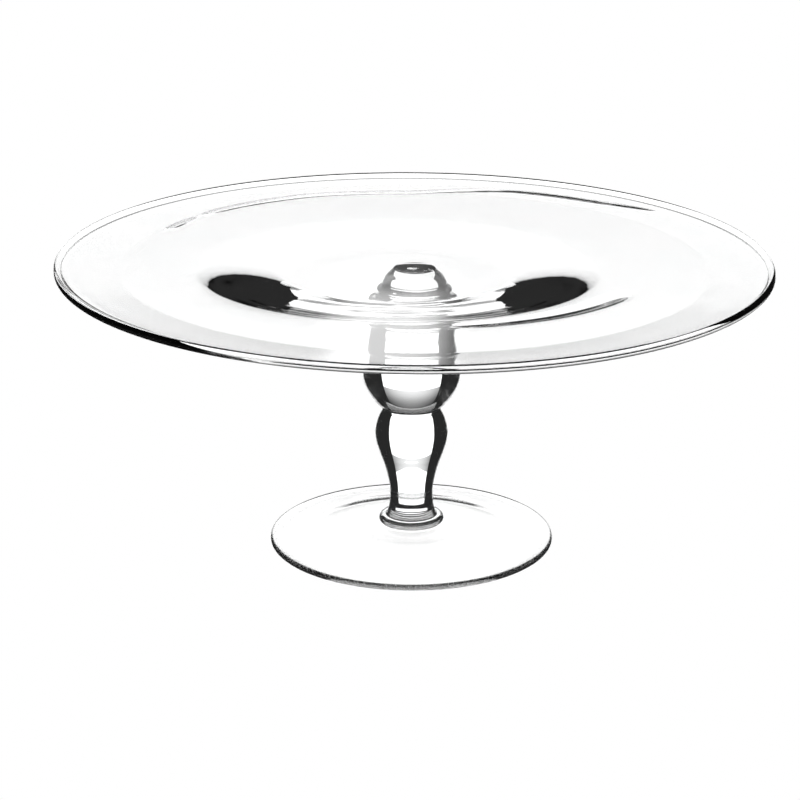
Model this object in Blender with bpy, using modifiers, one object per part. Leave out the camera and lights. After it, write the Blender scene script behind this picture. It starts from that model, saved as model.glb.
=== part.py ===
"""A footed glass cake stand, built as the separate pieces of glass that are joined hot.

Every piece is turned about one upright axis, world Z. The origin is on the table under the
middle of the foot. Units are metres, with +Z up.
"""

import math

import bpy

MM = 0.001

# Driving dimensions
PLATE_RADIUS = 152.5 * MM
STAND_HEIGHT = 128.0 * MM
FOOT_RADIUS = 61.9 * MM
FUSED_GAP = 0.3 * MM
AXIS = 0.0

# Rim bead: a round rod of glass that stands on a seat round the lip of the plate
BEAD_RADIUS = 1.8 * MM

# Plate: flat on top inside the raised bead, and thicker underneath toward the stem
CAKE_FLAT_HEIGHT = 125.0 * MM
LIP_STARTS = 124.0 * MM
PLATE_THICKNESS = 1.7 * MM
MIDDLE_THICKNESS = 9.0 * MM
HUB_RADIUS = 9.0 * MM
HUB_HEIGHT = CAKE_FLAT_HEIGHT - MIDDLE_THICKNESS

# Upper collar: a short neck under the plate with two rings, the wider one over the bulb
PLATE_COLLAR_RADIUS = 19.8 * MM
PLATE_COLLAR_NECK_RADIUS = 13.8 * MM
PLATE_COLLAR_BOTTOM = 95.0 * MM

# Bulb: the round swelling of the stem under the plate
BULB_RADIUS = 21.3 * MM
BULB_NECK_RADIUS = 18.2 * MM
WAIST_RADIUS = 11.0 * MM
WAIST_HEIGHT = 61.4 * MM

# Baluster: the lower stem, a high shoulder over a slim neck
SHOULDER_RADIUS = 15.95 * MM
NECK_RADIUS = 9.4 * MM
BALUSTER_BASE_RADIUS = 11.3 * MM

# Lower collar: a rounded ring between the stem and the foot
FOOT_COLLAR_RADIUS = 14.15 * MM
FOOT_COLLAR_TOP = 11.6 * MM

# Foot: a low dome, hollowed underneath, that rests on a flat ring
FOOT_HEIGHT = 8.0 * MM
FOOT_EDGE_THICKNESS = 2.8 * MM
FOOT_HOLLOW = 4.4 * MM
RESTING_RING_WIDTH = 4.0 * MM

# Facets round the axis, and along one span of a curved outline
PLATE_FACETS = 64
FOOT_FACETS = 48
STEM_FACETS = 32
CURVE_STEPS = 2


def arc(centre, radius, start, end, steps):
    """Points of a round section, as (distance from the axis, height); angles in degrees."""
    points = []
    for step in range(steps + 1):
        angle = math.radians(start + (end - start) * step / steps)
        across = centre[0] + radius * math.cos(angle)
        up = centre[1] + radius * math.sin(angle)
        points.append((across, up))
    return points


def curve_through(stations, steps=CURVE_STEPS):
    """A smooth curve that passes through every station (a Catmull-Rom spline)."""
    ends = [stations[0]] + list(stations) + [stations[-1]]
    points = []
    for before, start, end, after in zip(ends, ends[1:], ends[2:], ends[3:]):
        for step in range(steps):
            t = step / steps
            point = []
            for a, b, c, d in zip(before, start, end, after):
                straight = 2 * b + (c - a) * t
                bend = (2 * a - 5 * b + 4 * c - d) * t ** 2 + (3 * b - 3 * c + d - a) * t ** 3
                point.append((straight + bend) / 2)
            points.append(tuple(point))
    points.append(tuple(stations[-1]))
    return points


def between(low, high, share):
    """The value that lies a share of the way from low to high."""
    return low + (high - low) * share


def glass(name, colour, roughness):
    """Clear soda-lime glass."""
    material = bpy.data.materials.new(name)
    material.use_nodes = True
    shader = material.node_tree.nodes["Principled BSDF"]
    shader.inputs["Base Color"].default_value = (*colour, 1.0)
    shader.inputs["Roughness"].default_value = roughness
    shader.inputs["Metallic"].default_value = 0.0
    shader.inputs["Transmission Weight"].default_value = 1.0
    shader.inputs["IOR"].default_value = 1.5
    material.diffuse_color = (*colour, 0.35)
    return material


def turned(name, outline, facets, material, collection, stand, ring=False):
    """A solid turned from an outline that runs over the top, down the outside and back."""
    count = len(outline)
    edges = [(index, index + 1) for index in range(count - 1)]
    if ring:
        edges.append((count - 1, 0))
    mesh = bpy.data.meshes.new(name)
    mesh.from_pydata([(across, 0.0, up) for across, up in outline], edges, [])
    piece = bpy.data.objects.new(name, mesh)
    collection.objects.link(piece)
    piece.parent = stand
    mesh.materials.append(material)
    turn = piece.modifiers.new("turn", "SCREW")
    turn.axis = "Z"
    turn.angle = math.tau
    turn.steps = facets
    turn.render_steps = facets
    turn.use_merge_vertices = True
    turn.merge_threshold = 0.00001
    turn.use_smooth_shade = True
    return piece


BEAD_CENTRE = (PLATE_RADIUS - BEAD_RADIUS, STAND_HEIGHT - BEAD_RADIUS)


def rim_bead_outline():
    return arc(BEAD_CENTRE, BEAD_RADIUS, 180, -180, 8)[:-1]


def plate_outline():
    under_flat = CAKE_FLAT_HEIGHT - PLATE_THICKNESS

    def under(distance, share):
        return (distance * MM, between(HUB_HEIGHT, under_flat, share))

    def lip(inward, down):
        """A point that lies so many millimetres in from the rim and down from the top."""
        return (PLATE_RADIUS - inward * MM, STAND_HEIGHT - down * MM)

    top = [(AXIS, CAKE_FLAT_HEIGHT), (LIP_STARTS, CAKE_FLAT_HEIGHT)]
    bead_seat = arc(BEAD_CENTRE, BEAD_RADIUS + FUSED_GAP, 215, 240, 3)
    underside = curve_through(
        [lip(3.1, 3.8), lip(7.5, 4.0), lip(14.5, 4.3), (LIP_STARTS, under_flat),
         under(88, 0.96), under(77, 0.82), under(66, 0.48), under(55, 0.14), under(44, 0.0),
         (HUB_RADIUS, HUB_HEIGHT)]
    )
    return top + bead_seat + underside + [(AXIS, HUB_HEIGHT)]


def plate_collar_outline():
    top = HUB_HEIGHT - FUSED_GAP
    side = curve_through(
        [(HUB_RADIUS, top), (10.5 * MM, 114.5 * MM), (12.5 * MM, 112.5 * MM),
         (13.6 * MM, 110.5 * MM), (PLATE_COLLAR_NECK_RADIUS, 109.5 * MM),
         (15.8 * MM, 107.7 * MM), (16.0 * MM, 106.8 * MM), (14.8 * MM, 106.0 * MM),
         (16.5 * MM, 104.0 * MM), (19.5 * MM, 102.5 * MM), (PLATE_COLLAR_RADIUS, 101.2 * MM),
         (18.6 * MM, 99.5 * MM), (BULB_NECK_RADIUS, PLATE_COLLAR_BOTTOM)]
    )
    return [(AXIS, top)] + side + [(AXIS, PLATE_COLLAR_BOTTOM)]


def bulb_outline():
    top = PLATE_COLLAR_BOTTOM - FUSED_GAP
    bottom = WAIST_HEIGHT + FUSED_GAP / 2
    belly = curve_through(
        [(BULB_NECK_RADIUS, top), (18.8 * MM, 90 * MM), (20.0 * MM, 85.5 * MM),
         (BULB_RADIUS, 78 * MM), (20.5 * MM, 72 * MM), (17.8 * MM, 66.5 * MM),
         (15.0 * MM, 62.9 * MM), (WAIST_RADIUS, bottom)]
    )
    return [(AXIS, top)] + belly + [(AXIS, bottom)]


def baluster_outline():
    top = WAIST_HEIGHT - FUSED_GAP / 2
    bottom = FOOT_COLLAR_TOP + FUSED_GAP
    side = curve_through(
        [(WAIST_RADIUS, top), (13.0 * MM, 59.2 * MM), (14.4 * MM, 56.3 * MM),
         (15.7 * MM, 52.0 * MM), (SHOULDER_RADIUS, 49.0 * MM), (13.9 * MM, 40.0 * MM),
         (11.3 * MM, 32.5 * MM), (9.9 * MM, 27.0 * MM), (NECK_RADIUS, 21.0 * MM),
         (9.7 * MM, 15.5 * MM), (BALUSTER_BASE_RADIUS, bottom)]
    )
    return [(AXIS, top)] + side + [(AXIS, bottom)]


def foot_collar_outline():
    bottom = FOOT_HEIGHT + FUSED_GAP
    edge = (FOOT_COLLAR_TOP - bottom) / 2
    edge_centre = (FOOT_COLLAR_RADIUS - edge, bottom + edge)
    bead = arc(edge_centre, edge, 90, -90, 6)
    return [(AXIS, FOOT_COLLAR_TOP)] + bead + [(AXIS, bottom)]


def foot_outline():
    edge = FOOT_EDGE_THICKNESS / 2
    edge_radius = FOOT_RADIUS - edge
    ring_inner = edge_radius - RESTING_RING_WIDTH

    def dome(distance, share):
        return (distance * MM, between(FOOT_EDGE_THICKNESS, FOOT_HEIGHT, share))

    slope = curve_through(
        [(FOOT_COLLAR_RADIUS, FOOT_HEIGHT), dome(22, 0.80), dome(30, 0.58), dome(40, 0.37),
         dome(50, 0.19), (edge_radius, FOOT_EDGE_THICKNESS)]
    )
    side = arc((edge_radius, edge), edge, 60, -90, 5)
    hollow = curve_through(
        [(ring_inner, 0.0), (45 * MM, 1.2 * MM), (28 * MM, 3.3 * MM), (AXIS, FOOT_HOLLOW)]
    )
    return [(AXIS, FOOT_HEIGHT)] + slope + side + hollow


for leftover in list(bpy.data.objects):
    bpy.data.objects.remove(leftover)

parts = bpy.data.collections.new("cake_stand")
bpy.context.scene.collection.children.link(parts)
stand = bpy.data.objects.new("stand", None)
parts.objects.link(stand)

CLEAR = (0.97, 0.98, 0.98)
THICK_CLEAR = (0.95, 0.97, 0.965)

pieces = (
    ("rim_bead", rim_bead_outline(), PLATE_FACETS, CLEAR, 0.01, True),
    ("plate", plate_outline(), PLATE_FACETS, CLEAR, 0.01, False),
    ("plate_collar", plate_collar_outline(), STEM_FACETS, THICK_CLEAR, 0.01, False),
    ("bulb", bulb_outline(), STEM_FACETS, THICK_CLEAR, 0.01, False),
    ("baluster", baluster_outline(), STEM_FACETS, THICK_CLEAR, 0.01, False),
    ("foot_collar", foot_collar_outline(), STEM_FACETS, THICK_CLEAR, 0.01, False),
    ("foot", foot_outline(), FOOT_FACETS, CLEAR, 0.015, False),
)
for name, outline, facets, colour, roughness, ring in pieces:
    turned(name, outline, facets, glass(name + "_glass", colour, roughness), parts, stand, ring)
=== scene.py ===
"""The looks of the footed glass cake stand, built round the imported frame.

Each CAD piece is replaced by a finer turned mesh in the same place. Neighbouring pieces touch
on flat faces, and those faces are clear of any shader, as hot-fused glass has no inner surface.
The light is a bright field: a white panel that always lies behind the stand as the camera
sees it, with dark on all sides, which is what draws clear glass as dark outlines.
"""

import math

import bpy
import numpy as np
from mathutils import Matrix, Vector


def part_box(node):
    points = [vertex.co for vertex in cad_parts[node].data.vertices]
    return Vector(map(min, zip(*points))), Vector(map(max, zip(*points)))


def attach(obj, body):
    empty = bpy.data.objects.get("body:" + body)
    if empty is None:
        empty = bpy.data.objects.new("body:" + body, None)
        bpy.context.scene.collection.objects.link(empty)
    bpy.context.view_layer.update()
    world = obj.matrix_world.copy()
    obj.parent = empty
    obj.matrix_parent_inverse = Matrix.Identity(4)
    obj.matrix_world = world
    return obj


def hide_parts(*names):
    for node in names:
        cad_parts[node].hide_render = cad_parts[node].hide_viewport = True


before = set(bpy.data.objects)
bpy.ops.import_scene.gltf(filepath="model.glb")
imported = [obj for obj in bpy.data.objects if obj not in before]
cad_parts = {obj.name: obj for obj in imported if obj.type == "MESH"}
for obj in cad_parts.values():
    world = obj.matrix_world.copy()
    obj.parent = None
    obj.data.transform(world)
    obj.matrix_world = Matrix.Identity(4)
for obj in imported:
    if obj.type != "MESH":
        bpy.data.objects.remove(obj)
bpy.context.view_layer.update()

MM = 0.001


def in_mm(length):
    """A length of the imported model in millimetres, to a hundredth."""
    return round(length / MM, 2)


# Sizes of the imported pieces. The solids leave a gap at each joint; here it is closed, as the
# pieces are fused, so two neighbours meet at one height
FUSED_GAP = 0.3 * MM
BEAD_LOW, BEAD_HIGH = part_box("rim_bead")
PLATE_RADIUS = BEAD_HIGH[0]
STAND_HEIGHT = BEAD_HIGH[2]
BEAD_RADIUS = in_mm((BEAD_HIGH[2] - BEAD_LOW[2]) / 2) * MM
FOOT_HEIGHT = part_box("foot")[1][2]
FOOT_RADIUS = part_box("foot")[1][0]
HUB = in_mm(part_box("plate_collar")[1][2] + FUSED_GAP)
BULB_TOP = in_mm(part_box("plate_collar")[0][2])
WAIST = in_mm((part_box("bulb")[0][2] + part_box("baluster")[1][2]) / 2)
RING_TOP = in_mm(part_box("foot_collar")[1][2])
RING_RADIUS = in_mm(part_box("foot_collar")[1][0]) * MM

# Sections, as (radius, height) in millimetres
CAKE_FLAT = ((0, 125.0), (50, 125.0), (100, 125.0), (125, 125.0))
LIP_TOP = ((125, 125.0), (136, 125.0), (145, 125.1), (149.174, 125.246))
LIP_UNDER = ((150.39, 124.43), (149, 124.25), (145, 124.0), (138, 123.7), (125, 123.3))
UNDERSIDE = (
    (125, 123.3), (105, 123.15), (88, 123.0), (82.5, 122.73), (77, 121.98), (71.5, 120.84),
    (66, 119.5), (60.5, 118.16), (55, 117.03), (49.5, 116.27), (44, HUB), (29, HUB), (14, HUB),
)
COLLAR = (
    (9, HUB), (10.5, 114.5), (12.5, 112.5), (13.6, 110.5), (13.8, 109.5), (15.8, 107.7),
    (16, 106.8), (14.8, 106.0), (16.5, 104), (19.5, 102.5), (19.8, 101.2), (18.6, 99.5),
    (18.2, BULB_TOP),
)
BULB = (
    (18.2, BULB_TOP), (18.8, 90), (20.0, 85.5), (21.3, 78), (20.5, 72), (17.8, 66.5),
    (15.0, 62.9), (12.6, 61.7), (11.0, WAIST),
)
BALUSTER = (
    (11.0, WAIST), (12.4, 60.7), (13.0, 59.2), (14.4, 56.3), (15.7, 52), (15.95, 49),
    (15.4, 45), (13.9, 40), (12.8, 37), (11.3, 32.5), (9.9, 27), (9.35, 23), (9.4, 19),
    (9.7, 15.5), (10.5, 12.6), (11.3, RING_TOP),
)
FOOT_SLOPE = ((14.0, 8.0), (22, 6.96), (30, 5.82), (40, 4.72), (50, 3.79), (60.5, 2.8))
FOOT_HOLLOW = ((56.5, 0.0), (45, 1.2), (28, 3.3), (0, 4.4))
FOOT_EDGE_RADIUS = 1.4 * MM

# Where the bead's round section leaves the lip and comes back to it, in degrees
BEAD_JOINT = (212, -100)

# Mesh fineness
SEGMENTS = 256
CURVE_STEPS = 8
LONGEST_STEP = 0.7 * MM
BEAD_STEPS = 40
RING_STEPS = 16
FOOT_EDGE_STEPS = 14
SAME_POINT = 0.02 * MM
ON_JOINT = 0.05 * MM
ON_FLAT = 0.001 * MM
ON_AXIS = 0.0001 * MM

# How the hand-made plate sits on its stem
PLATE_LEAN = math.radians(-0.398)
PLATE_SHIFT = 1.18 * MM
LEAN_STARTS = 92 * MM
LEAN_ENDS = 104 * MM

# The thick middle was formed off centre: it shifts whole inside SHIFT_WHOLE, and not at all
# beyond SHIFT_ENDS or over the stem
MIDDLE_SHIFT = (-7.0 * MM, -12.0 * MM)
SHIFT_WHOLE = 85 * MM
SHIFT_ENDS = 115 * MM
STEM_HOLDS = 16 * MM
STEM_FREES = 40 * MM

# Its underside is a little narrower toward the front, over a ring of these radii
UNDER_SQUASH = 0.15
SQUASH_IN = 26 * MM
SQUASH_FULL = 50 * MM
SQUASH_END = 88 * MM
SQUASH_OUT = 122 * MM

# Grooves left by hand, as (azimuth in degrees, radius in mm, share of the full depth)
LIP_WRINKLE = (
    (36, 144, 0.0), (45, 140, 0.6), (54, 137, 1.0), (70, 136, 1.0), (80, 129, 0.8),
    (90, 123, 0.8), (112, 125.5, 1.0), (135, 124, 0.8), (142, 123, 0.1), (150, 121, 0.8),
    (156, 120.5, 0.0),
)
LIP_WRINKLE_WIDTH = 2.2 * MM
LIP_WRINKLE_DEPTH = 1.2 * MM
FOLD = ((-80, 95, 0.0), (-62, 95, 0.7), (-40, 96.5, 1.0), (-30, 97.5, 1.0), (-22, 98, 0.0))
FOLD_WIDTH = 3.2 * MM
FOLD_DEPTH = 0.8 * MM

# The thicker stretch of the lip, as (azimuth in degrees, share of the full height). It rises
# between the first two radii, stops at the last two, and leaves out the parts of the section
# below SWELL_LOW and above SWELL_HIGH
SWELL = ((-180, 0.0), (-172, 0.6), (-165, 1.0), (-135, 1.0), (-122, 0.5), (-108, 0.0))
SWELL_HEIGHT = 1.5 * MM
SWELL_RISE = (143.0 * MM, 148.8 * MM)
SWELL_STOP = (149.6 * MM, 149.1 * MM)
SWELL_LOW = (125.0 * MM, 125.5 * MM)
SWELL_HIGH = (127.0 * MM, 126.0 * MM)

# Glass
IOR = 1.5
NOISE_LOW = 0.35
NOISE_HIGH = 0.65
WEAR_SIZE = 7 * MM
WEAR_ROUGHNESS = (0.0, 0.02)
SCUFF_SIZE = 0.8 * MM
SCUFF_ROUGHNESS = (0.05, 0.3)
SCUFF_TOP = 0.15 * MM
TINT_SIZE = 30 * MM

# Bright field, as angles in degrees from the line of sight
PANEL_HALF_WIDTH = 27.0
PANEL_TOP = 20.0
PANEL_BOTTOM = -27.0
PANEL_LIGHT = 1.6
DARK_SIDES = 0.022
WALL_LIGHT = 1.05
WALL_FADE = 14.5
WALL_FADE_POWER = 1.4
WALL_SIDE_FADE = 0.6
WALL_DEPTH = 3.5
STRIP_LIGHT = 3.1
STRIP_HALF_WIDTH = 1.4
STRIP_HEIGHT = 36.25
STRIP_HALF_HEIGHT = 1.45
STRIP_EDGE_POWER = 4.0
STRIP_FALL = 0.7

# Floor and camera
FLOOR_REACH = 4.0
FLOOR_DROP = 0.2 * MM
CAMERA_PLACE = (-0.00498, -1.08891, 0.42959)
CAMERA_AIM = (-0.00498, 0.0, 0.06372)
CAMERA_LENS = 119.57
SENSOR_WIDTH = 36.0


# ---------------------------------------------------------------- outlines

def curve_through(stations):
    """A smooth curve through every station (a Catmull-Rom spline), in metres."""
    ends = [stations[0]] + list(stations) + [stations[-1]]
    points = []
    for before, start, end, after in zip(ends, ends[1:], ends[2:], ends[3:]):
        for step in range(CURVE_STEPS):
            t = step / CURVE_STEPS
            point = []
            for a, b, c, d in zip(before, start, end, after):
                straight = 2 * b + (c - a) * t
                bend = (2 * a - 5 * b + 4 * c - d) * t ** 2 + (3 * b - 3 * c + d - a) * t ** 3
                point.append(MM * (straight + bend) / 2)
            points.append(tuple(point))
    points.append((stations[-1][0] * MM, stations[-1][1] * MM))
    return points


def arc(centre, radius, start, end, steps):
    """Points of a round section; angles in degrees."""
    points = []
    for step in range(steps + 1):
        angle = math.radians(start + (end - start) * step / steps)
        across = centre[0] + radius * math.cos(angle)
        up = centre[1] + radius * math.sin(angle)
        points.append((across, up))
    return points


def fine_curve(stations):
    """The curve through the stations, with no step longer than LONGEST_STEP."""
    points = curve_through(stations)
    finer = [points[0]]
    for start, end in zip(points, points[1:]):
        count = max(1, math.ceil(math.dist(start, end) / LONGEST_STEP))
        for k in range(1, count + 1):
            finer.append(tuple(a + (b - a) * k / count for a, b in zip(start, end)))
    return finer


def join(*runs):
    """One outline from several runs, without doubled points."""
    points = []
    for run in runs:
        for point in run:
            if not points or math.dist(point, points[-1]) > SAME_POINT:
                points.append(point)
    return points


def middle(start, end):
    """The point halfway between two points of an outline."""
    return [(a + b) / 2 for a, b in zip(start, end)]


# ---------------------------------------------------------------- marks of hand forming

def smooth_step(value, start, end):
    """0 before start, 1 after end, and a soft rise between; start may be the larger."""
    share = np.clip((value - start) / (end - start), 0, 1)
    return share * share * (3 - 2 * share)


def settle(points):
    """Moves the top of the stand as the maker left it: a slight lean and a small offset."""
    share = smooth_step(points[:, 2], LEAN_STARTS, LEAN_ENDS)
    moved = points.copy()
    moved[:, 0] += PLATE_SHIFT * share
    moved[:, 2] += math.tan(PLATE_LEAN) * points[:, 0] * share
    return moved


def groove(radius, degrees, path, width, depth):
    """A soft groove along a path of (azimuth, radius in mm, share of its depth)."""
    azimuths, radii, shares = zip(*path)
    centre = np.interp(degrees, azimuths, radii) * MM
    share = np.interp(degrees, azimuths, shares, left=0, right=0)
    return -depth * share * np.exp(-(((radius - centre) / width) ** 2))


def swell_lip(points):
    """The lip is thicker along the left front, where the hot glass ran together."""
    radius = np.hypot(points[:, 0], points[:, 1])
    degrees = np.degrees(np.arctan2(points[:, 1], points[:, 0]))
    azimuths, shares = zip(*SWELL)
    share = np.interp(degrees, azimuths, shares, left=0, right=0)
    share = share * smooth_step(radius, *SWELL_RISE) * smooth_step(radius, *SWELL_STOP)
    share = share * smooth_step(points[:, 2], *SWELL_LOW)
    share = share * smooth_step(points[:, 2], *SWELL_HIGH)
    moved = points.copy()
    moved[:, 2] += SWELL_HEIGHT * share
    return moved


def between_faces(radius):
    """A height between the plate's two faces at each radius."""
    top = np.interp(radius, [r * MM for r, z in CAKE_FLAT], [z * MM for r, z in CAKE_FLAT])
    slope = UNDERSIDE[::-1]
    low = np.interp(radius, [r * MM for r, z in slope], [z * MM for r, z in slope])
    return (top + low) / 2


def hand_shape(points):
    """The plate's thick middle lies off centre, and its lip is grooved and uneven."""
    radius = np.hypot(points[:, 0], points[:, 1])
    degrees = np.degrees(np.arctan2(points[:, 1], points[:, 0]))
    under = points[:, 2] < between_faces(radius)
    moved = points.copy()

    ring = smooth_step(radius, SQUASH_IN, SQUASH_FULL) * smooth_step(radius, SQUASH_OUT, SQUASH_END)
    squashed = under & (points[:, 1] < 0)
    moved[:, 1] = np.where(squashed, points[:, 1] * (1 - ring * UNDER_SQUASH), points[:, 1])

    share = smooth_step(radius, SHIFT_ENDS, SHIFT_WHOLE)
    free = smooth_step(radius, STEM_HOLDS, STEM_FREES)
    moved[:, 0] += MIDDLE_SHIFT[0] * share * free
    moved[:, 1] += MIDDLE_SHIFT[1] * share * free

    lip_wrinkle = groove(radius, degrees, LIP_WRINKLE, LIP_WRINKLE_WIDTH, LIP_WRINKLE_DEPTH)
    fold = groove(radius, degrees, FOLD, FOLD_WIDTH, FOLD_DEPTH)
    moved[:, 2] += np.where(under, fold, lip_wrinkle)
    return swell_lip(moved)


# ---------------------------------------------------------------- turned meshes

def turned(node, outline, fused, glass, closed=False, shape=None):
    """A closed mesh turned from an outline that runs over the top, down the outside and back.

    It stands for the CAD node. fused(radius, height) is True where the outline lies on a face
    shared with a neighbour.
    """
    angles = np.arange(SEGMENTS) * math.tau / SEGMENTS
    circle = np.stack([np.cos(angles), np.sin(angles)], axis=1)
    points, rings = [], []
    for radius, height in outline:
        first = len(points)
        if radius < ON_AXIS:
            points.append((0.0, 0.0, height))
            rings.append([first])
        else:
            points.extend((radius * c, radius * s, height) for c, s in circle)
            rings.append(list(range(first, first + SEGMENTS)))
    spans = list(zip(range(len(rings) - 1), range(1, len(rings))))
    if closed:
        spans.append((len(rings) - 1, 0))
    faces, kinds = [], []
    for upper, lower in spans:
        kind = 1 if fused(*middle(outline[upper], outline[lower])) else 0
        top, bottom = rings[upper], rings[lower]
        for i in range(SEGMENTS):
            j = (i + 1) % SEGMENTS
            above = top if len(top) == 1 else [top[j], top[i]]
            below = bottom if len(bottom) == 1 else [bottom[i], bottom[j]]
            faces.append(list(above) + list(below))
            kinds.append(kind)
    points = np.array(points)
    if shape is not None:
        points = shape(points)
    points = settle(points)
    name = node + "_glass"
    mesh = bpy.data.meshes.new(name)
    mesh.from_pydata(points.tolist(), [], faces)
    mesh.materials.append(glass)
    mesh.materials.append(joint)
    mesh.polygons.foreach_set("material_index", kinds)
    mesh.shade_smooth()
    sharpen_joints(mesh, kinds)
    piece = bpy.data.objects.new(name, mesh)
    bpy.context.scene.collection.objects.link(piece)
    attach(piece, "root")
    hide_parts(node)


def sharpen_joints(mesh, kinds):
    """The outer surface keeps its own normals up to the edge of a fused face."""
    sides = {}
    for polygon in mesh.polygons:
        for key in polygon.edge_keys:
            sides.setdefault(key, set()).add(kinds[polygon.index])
    for edge in mesh.edges:
        edge.use_edge_sharp = len(sides[edge.key]) > 1


def flat_ends(top, bottom):
    """Tells whether a span of an outline lies on its flat top or bottom, which are fused."""
    return lambda radius, height: height > top - ON_FLAT or height < bottom + ON_FLAT


# ---------------------------------------------------------------- materials

def math_node(nodes, links, operation, *values):
    """A Math node; each value is a number or another node's output."""
    node = nodes.new("ShaderNodeMath")
    node.operation = operation
    for index, value in enumerate(values):
        if isinstance(value, (int, float)):
            node.inputs[index].default_value = value
        else:
            links.new(value, node.inputs[index])
    return node.outputs[0]


def clear_glass(name, tint, ripple_size, ripple_depth, scuffed=False):
    """Clear soda-lime glass: soft ripples from hand forming, and fine uneven wear."""
    material = bpy.data.materials.new(name)
    material.use_nodes = True
    nodes, links = material.node_tree.nodes, material.node_tree.links
    shader = nodes["Principled BSDF"]
    shader.inputs["Transmission Weight"].default_value = 1.0
    shader.inputs["IOR"].default_value = IOR
    place = nodes.new("ShaderNodeTexCoord")

    def noise(size, detail):
        node = nodes.new("ShaderNodeTexNoise")
        node.inputs["Scale"].default_value = 1 / size
        node.inputs["Detail"].default_value = detail
        links.new(place.outputs["Object"], node.inputs["Vector"])
        return node.outputs["Fac"]

    def spread(value, low, high):
        node = nodes.new("ShaderNodeMapRange")
        node.inputs["From Min"].default_value = NOISE_LOW
        node.inputs["From Max"].default_value = NOISE_HIGH
        node.inputs["To Min"].default_value = low
        node.inputs["To Max"].default_value = high
        links.new(value, node.inputs["Value"])
        return node.outputs["Result"]

    ripple = nodes.new("ShaderNodeBump")
    ripple.inputs["Strength"].default_value = 1.0
    ripple.inputs["Distance"].default_value = ripple_depth
    links.new(noise(ripple_size, 1.0), ripple.inputs["Height"])
    links.new(ripple.outputs["Normal"], shader.inputs["Normal"])

    wear = spread(noise(WEAR_SIZE, 6.0), *WEAR_ROUGHNESS)
    if scuffed:
        height = nodes.new("ShaderNodeSeparateXYZ")
        links.new(place.outputs["Object"], height.inputs[0])
        touching = math_node(nodes, links, "LESS_THAN", height.outputs["Z"], SCUFF_TOP)
        scuffs = spread(noise(SCUFF_SIZE, 4.0), *SCUFF_ROUGHNESS)
        scuffs = math_node(nodes, links, "MULTIPLY", touching, scuffs)
        wear = math_node(nodes, links, "ADD", wear, scuffs)
    links.new(wear, shader.inputs["Roughness"])

    shade = nodes.new("ShaderNodeMix")
    shade.data_type = "RGBA"
    shade.inputs["A"].default_value = (*tint, 1.0)
    shade.inputs["B"].default_value = (1.0, 1.0, 1.0, 1.0)
    links.new(spread(noise(TINT_SIZE, 2.0), 0.0, 1.0), shade.inputs["Factor"])
    links.new(shade.outputs["Result"], shader.inputs["Base Color"])
    return material


def fused_joint():
    """Clear glass has no surface where two pieces are fused, so nothing bends or reflects."""
    material = bpy.data.materials.new("fused_joint")
    material.use_nodes = True
    nodes, links = material.node_tree.nodes, material.node_tree.links
    nodes.remove(nodes["Principled BSDF"])
    clear = nodes.new("ShaderNodeBsdfTransparent")
    links.new(clear.outputs[0], nodes["Material Output"].inputs["Surface"])
    return material


joint = fused_joint()
plate_glass = clear_glass("plate_glass", (0.985, 0.99, 0.99), 26 * MM, 0.05 * MM)
bead_glass = clear_glass("bead_glass", (0.98, 0.985, 0.985), 12 * MM, 0.03 * MM)
stem_glass = clear_glass("stem_glass", (0.975, 0.985, 0.985), 10 * MM, 0.02 * MM)
foot_glass = clear_glass("foot_glass", (0.98, 0.985, 0.985), 18 * MM, 0.04 * MM, scuffed=True)


# ---------------------------------------------------------------- the pieces

bead_centre = (PLATE_RADIUS - BEAD_RADIUS, STAND_HEIGHT - BEAD_RADIUS)
bead_outline = arc(bead_centre, BEAD_RADIUS, *BEAD_JOINT, BEAD_STEPS)
bead_joint = middle(bead_outline[0], bead_outline[-1])


def on_bead_joint(radius, height):
    return math.dist((radius, height), bead_joint) < ON_JOINT


turned("rim_bead", bead_outline, on_bead_joint, bead_glass, True, swell_lip)

hub_radius = COLLAR[0][0] * MM
hub_height = HUB * MM
bulb_top = BULB_TOP * MM
waist_height = WAIST * MM
ring_top = RING_TOP * MM


def plate_is_fused(radius, height):
    on_hub = radius < hub_radius and height < hub_height + ON_FLAT
    return on_hub or on_bead_joint(radius, height)


plate_outline = join(
    fine_curve(CAKE_FLAT), fine_curve(LIP_TOP), [bead_outline[0], bead_outline[-1]],
    fine_curve(LIP_UNDER), fine_curve(UNDERSIDE), [(hub_radius, hub_height), (0.0, hub_height)],
)
turned("plate", plate_outline, plate_is_fused, plate_glass, shape=hand_shape)

stem_pieces = (
    ("plate_collar", hub_height, COLLAR, bulb_top),
    ("bulb", bulb_top, BULB, waist_height),
    ("baluster", waist_height, BALUSTER, ring_top),
)
for node, top, section, bottom in stem_pieces:
    outline = join([(0.0, top)], curve_through(section), [(0.0, bottom)])
    turned(node, outline, flat_ends(top, bottom), stem_glass)

ring_edge = (ring_top - FOOT_HEIGHT) / 2
ring_flat = RING_RADIUS - ring_edge
baluster_base = BALUSTER[-1][0] * MM


def foot_collar_is_fused(radius, height):
    on_top = radius < baluster_base and height > ring_top - ON_FLAT
    on_bottom = radius < ring_flat and height < FOOT_HEIGHT + ON_FLAT
    return on_top or on_bottom


def foot_is_fused(radius, height):
    return radius < ring_flat and height > FOOT_HEIGHT - ON_FLAT


foot_collar_outline = join(
    [(0.0, ring_top), (baluster_base, ring_top)],
    arc((ring_flat, FOOT_HEIGHT + ring_edge), ring_edge, 90, -90, RING_STEPS),
    [(0.0, FOOT_HEIGHT)],
)
turned("foot_collar", foot_collar_outline, foot_collar_is_fused, stem_glass)

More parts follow.
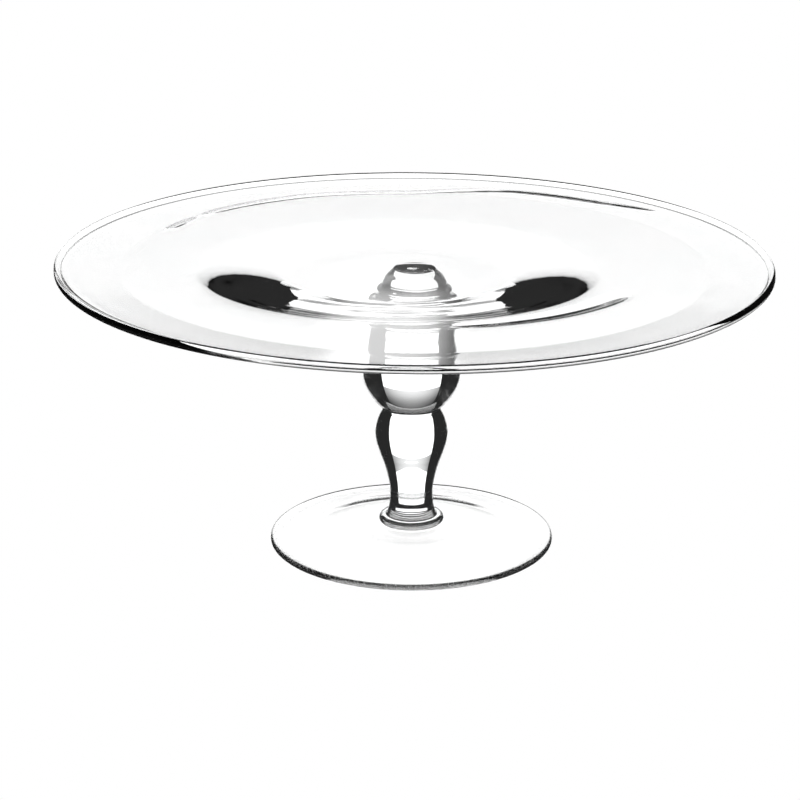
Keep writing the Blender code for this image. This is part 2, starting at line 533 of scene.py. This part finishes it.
foot_edge_centre = (FOOT_RADIUS - FOOT_EDGE_RADIUS, FOOT_EDGE_RADIUS)
foot_outline = join(
    [(0.0, FOOT_HEIGHT), (ring_flat, FOOT_HEIGHT)], curve_through(FOOT_SLOPE),
    arc(foot_edge_centre, FOOT_EDGE_RADIUS, 90, -90, FOOT_EDGE_STEPS),
    curve_through(FOOT_HOLLOW),
)
turned("foot", foot_outline, foot_is_fused, foot_glass)


# ---------------------------------------------------------------- camera, floor and light

def build_world():
    """The bright field. It is placed in the camera's own space, so every view has it."""
    world = bpy.data.worlds.new("bright_field")
    bpy.context.scene.world = world
    world.use_nodes = True
    nodes, links = world.node_tree.nodes, world.node_tree.links

    def calc(operation, *values):
        return math_node(nodes, links, operation, *values)

    place = nodes.new("ShaderNodeTexCoord")
    parts = nodes.new("ShaderNodeSeparateXYZ")
    seen = nodes.new("ShaderNodeLightPath")
    links.new(place.outputs["Camera"], parts.inputs[0])
    across = calc("ABSOLUTE", calc("ARCTAN2", parts.outputs["X"], parts.outputs["Z"]))
    above = calc("ARCTAN2", parts.outputs["Y"], parts.outputs["Z"])
    in_width = calc("LESS_THAN", across, math.radians(PANEL_HALF_WIDTH))

    # The panel behind the stand
    panel = calc("MULTIPLY", in_width, calc("LESS_THAN", above, math.radians(PANEL_TOP)))
    panel = calc("MULTIPLY", panel, calc("GREATER_THAN", above, math.radians(PANEL_BOTTOM)))
    panel = calc("MULTIPLY", panel, PANEL_LIGHT)

    # The wall above it, which fades upward and only lights refracted rays
    rise = calc("MAXIMUM", calc("SUBTRACT", above, math.radians(PANEL_TOP)), 0.0)
    fade = calc("POWER", calc("DIVIDE", rise, math.radians(WALL_FADE)), WALL_FADE_POWER)
    wall = calc("MULTIPLY", calc("EXPONENT", calc("MULTIPLY", fade, -1.0)), WALL_LIGHT)
    side = calc("POWER", calc("DIVIDE", across, math.radians(PANEL_HALF_WIDTH)), 2.0)
    wall = calc("MULTIPLY", wall, calc("SUBTRACT", 1.0, calc("MULTIPLY", side, WALL_SIDE_FADE)))
    wall = calc("MULTIPLY", wall, calc("GREATER_THAN", above, math.radians(PANEL_TOP)))
    wall = calc("MULTIPLY", wall, calc("LESS_THAN", seen.outputs["Ray Depth"], WALL_DEPTH))
    wall = calc("MULTIPLY", wall, calc("SUBTRACT", 1.0, seen.outputs["Is Reflection Ray"]))
    wall = calc("MULTIPLY", wall, in_width)

    # One narrow strip high above it, which only reflected rays see
    strip_across = calc("DIVIDE", across, math.radians(STRIP_HALF_WIDTH))
    strip_above = calc("SUBTRACT", above, math.radians(STRIP_HEIGHT))
    strip_above = calc("DIVIDE", strip_above, math.radians(STRIP_HALF_HEIGHT))
    strip = calc("ADD", calc("POWER", strip_across, STRIP_EDGE_POWER),
                 calc("POWER", strip_above, STRIP_EDGE_POWER))
    strip = calc("MULTIPLY", calc("EXPONENT", calc("MULTIPLY", strip, -STRIP_FALL)), STRIP_LIGHT)
    strip = calc("MULTIPLY", strip, seen.outputs["Is Reflection Ray"])

    light = calc("MAXIMUM", calc("MAXIMUM", panel, wall), calc("MAXIMUM", strip, DARK_SIDES))
    light = calc("MAXIMUM", light, calc("MULTIPLY", seen.outputs["Is Camera Ray"], PANEL_LIGHT))
    background = nodes["Background"]
    background.inputs["Strength"].default_value = 1.0
    links.new(light, background.inputs["Color"])


def build_floor():
    """A plain pale floor that only the camera sees directly, so it never shows in the glass."""
    material = bpy.data.materials.new("pale_floor")
    material.use_nodes = True
    nodes, links = material.node_tree.nodes, material.node_tree.links
    nodes.remove(nodes["Principled BSDF"])
    paper = nodes.new("ShaderNodeEmission")
    paper.inputs["Color"].default_value = (1.0, 1.0, 1.0, 1.0)
    paper.inputs["Strength"].default_value = 1.0
    nothing = nodes.new("ShaderNodeBsdfTransparent")
    side = nodes.new("ShaderNodeNewGeometry")
    mix = nodes.new("ShaderNodeMixShader")
    links.new(side.outputs["Backfacing"], mix.inputs[0])
    links.new(paper.outputs[0], mix.inputs[1])
    links.new(nothing.outputs[0], mix.inputs[2])
    links.new(mix.outputs[0], nodes["Material Output"].inputs["Surface"])
    mesh = bpy.data.meshes.new("floor")
    corners = [(x * FLOOR_REACH, y * FLOOR_REACH, -FLOOR_DROP)
               for x, y in ((-1, -1), (1, -1), (1, 1), (-1, 1))]
    mesh.from_pydata(corners, [], [(0, 1, 2, 3)])
    mesh.materials.append(material)
    floor = bpy.data.objects.new("floor", mesh)
    bpy.context.scene.collection.objects.link(floor)
    floor.visible_transmission = False
    floor.visible_glossy = False
    floor.visible_diffuse = False
    floor.visible_shadow = False


def build_camera():
    data = bpy.data.cameras.new("camera")
    data.lens = CAMERA_LENS
    data.sensor_width = SENSOR_WIDTH
    camera = bpy.data.objects.new("camera", data)
    camera.location = CAMERA_PLACE
    toward = Vector(CAMERA_AIM) - Vector(CAMERA_PLACE)
    camera.rotation_euler = toward.to_track_quat("-Z", "Y").to_euler()
    bpy.context.scene.collection.objects.link(camera)
    bpy.context.scene.camera = camera


build_world()
build_floor()
build_camera()

scene = bpy.context.scene
scene.view_settings.view_transform = "Standard"
scene.cycles.max_bounces = 32
scene.cycles.transmission_bounces = 32
scene.cycles.glossy_bounces = 16
scene.cycles.transparent_max_bounces = 32
